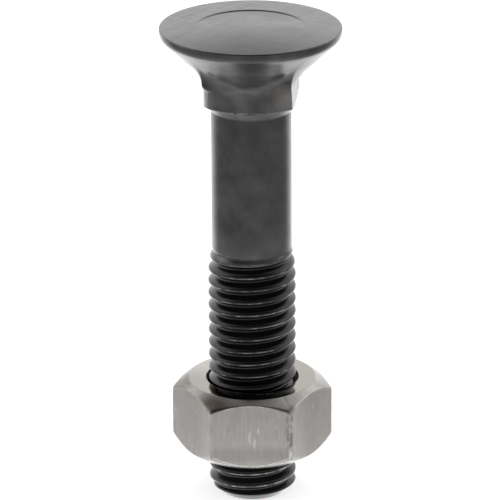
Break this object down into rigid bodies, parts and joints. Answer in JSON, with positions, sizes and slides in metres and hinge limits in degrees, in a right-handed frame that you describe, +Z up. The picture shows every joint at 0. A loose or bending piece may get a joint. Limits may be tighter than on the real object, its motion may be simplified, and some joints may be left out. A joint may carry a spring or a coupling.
{
  "type": "plow bolt",
  "caption": "Countersunk flat-head plow bolt with a short square neck, plain shank and right-hand metric thread, with a plain hexagon nut run onto the thread.",
  "frame": {"origin": "centre of the bolt's flat end face, on which it stands", "axes": "+Z up the bolt's axis to its head; -Y faces the camera, square to one flat of the nut within about a degree"},
  "size_m": [0.0241, 0.024, 0.065],
  "materials": {
    "black_steel": "blackened forged steel, satin, with rubbed edges",
    "bare_steel": "bare drawn steel, lightly scratched"
  },
  "bodies": {
    "bolt": {"countersunk_bolt": "black_steel"},
    "nut": {"hex_nut": "bare_steel"}
  },
  "joints": [
    {"name": "nut_travel", "type": "slide", "parent": "bolt", "child": "nut", "axis": [0, 0, 1], "range_m": [-0.00525, 0.014]}
  ]
}
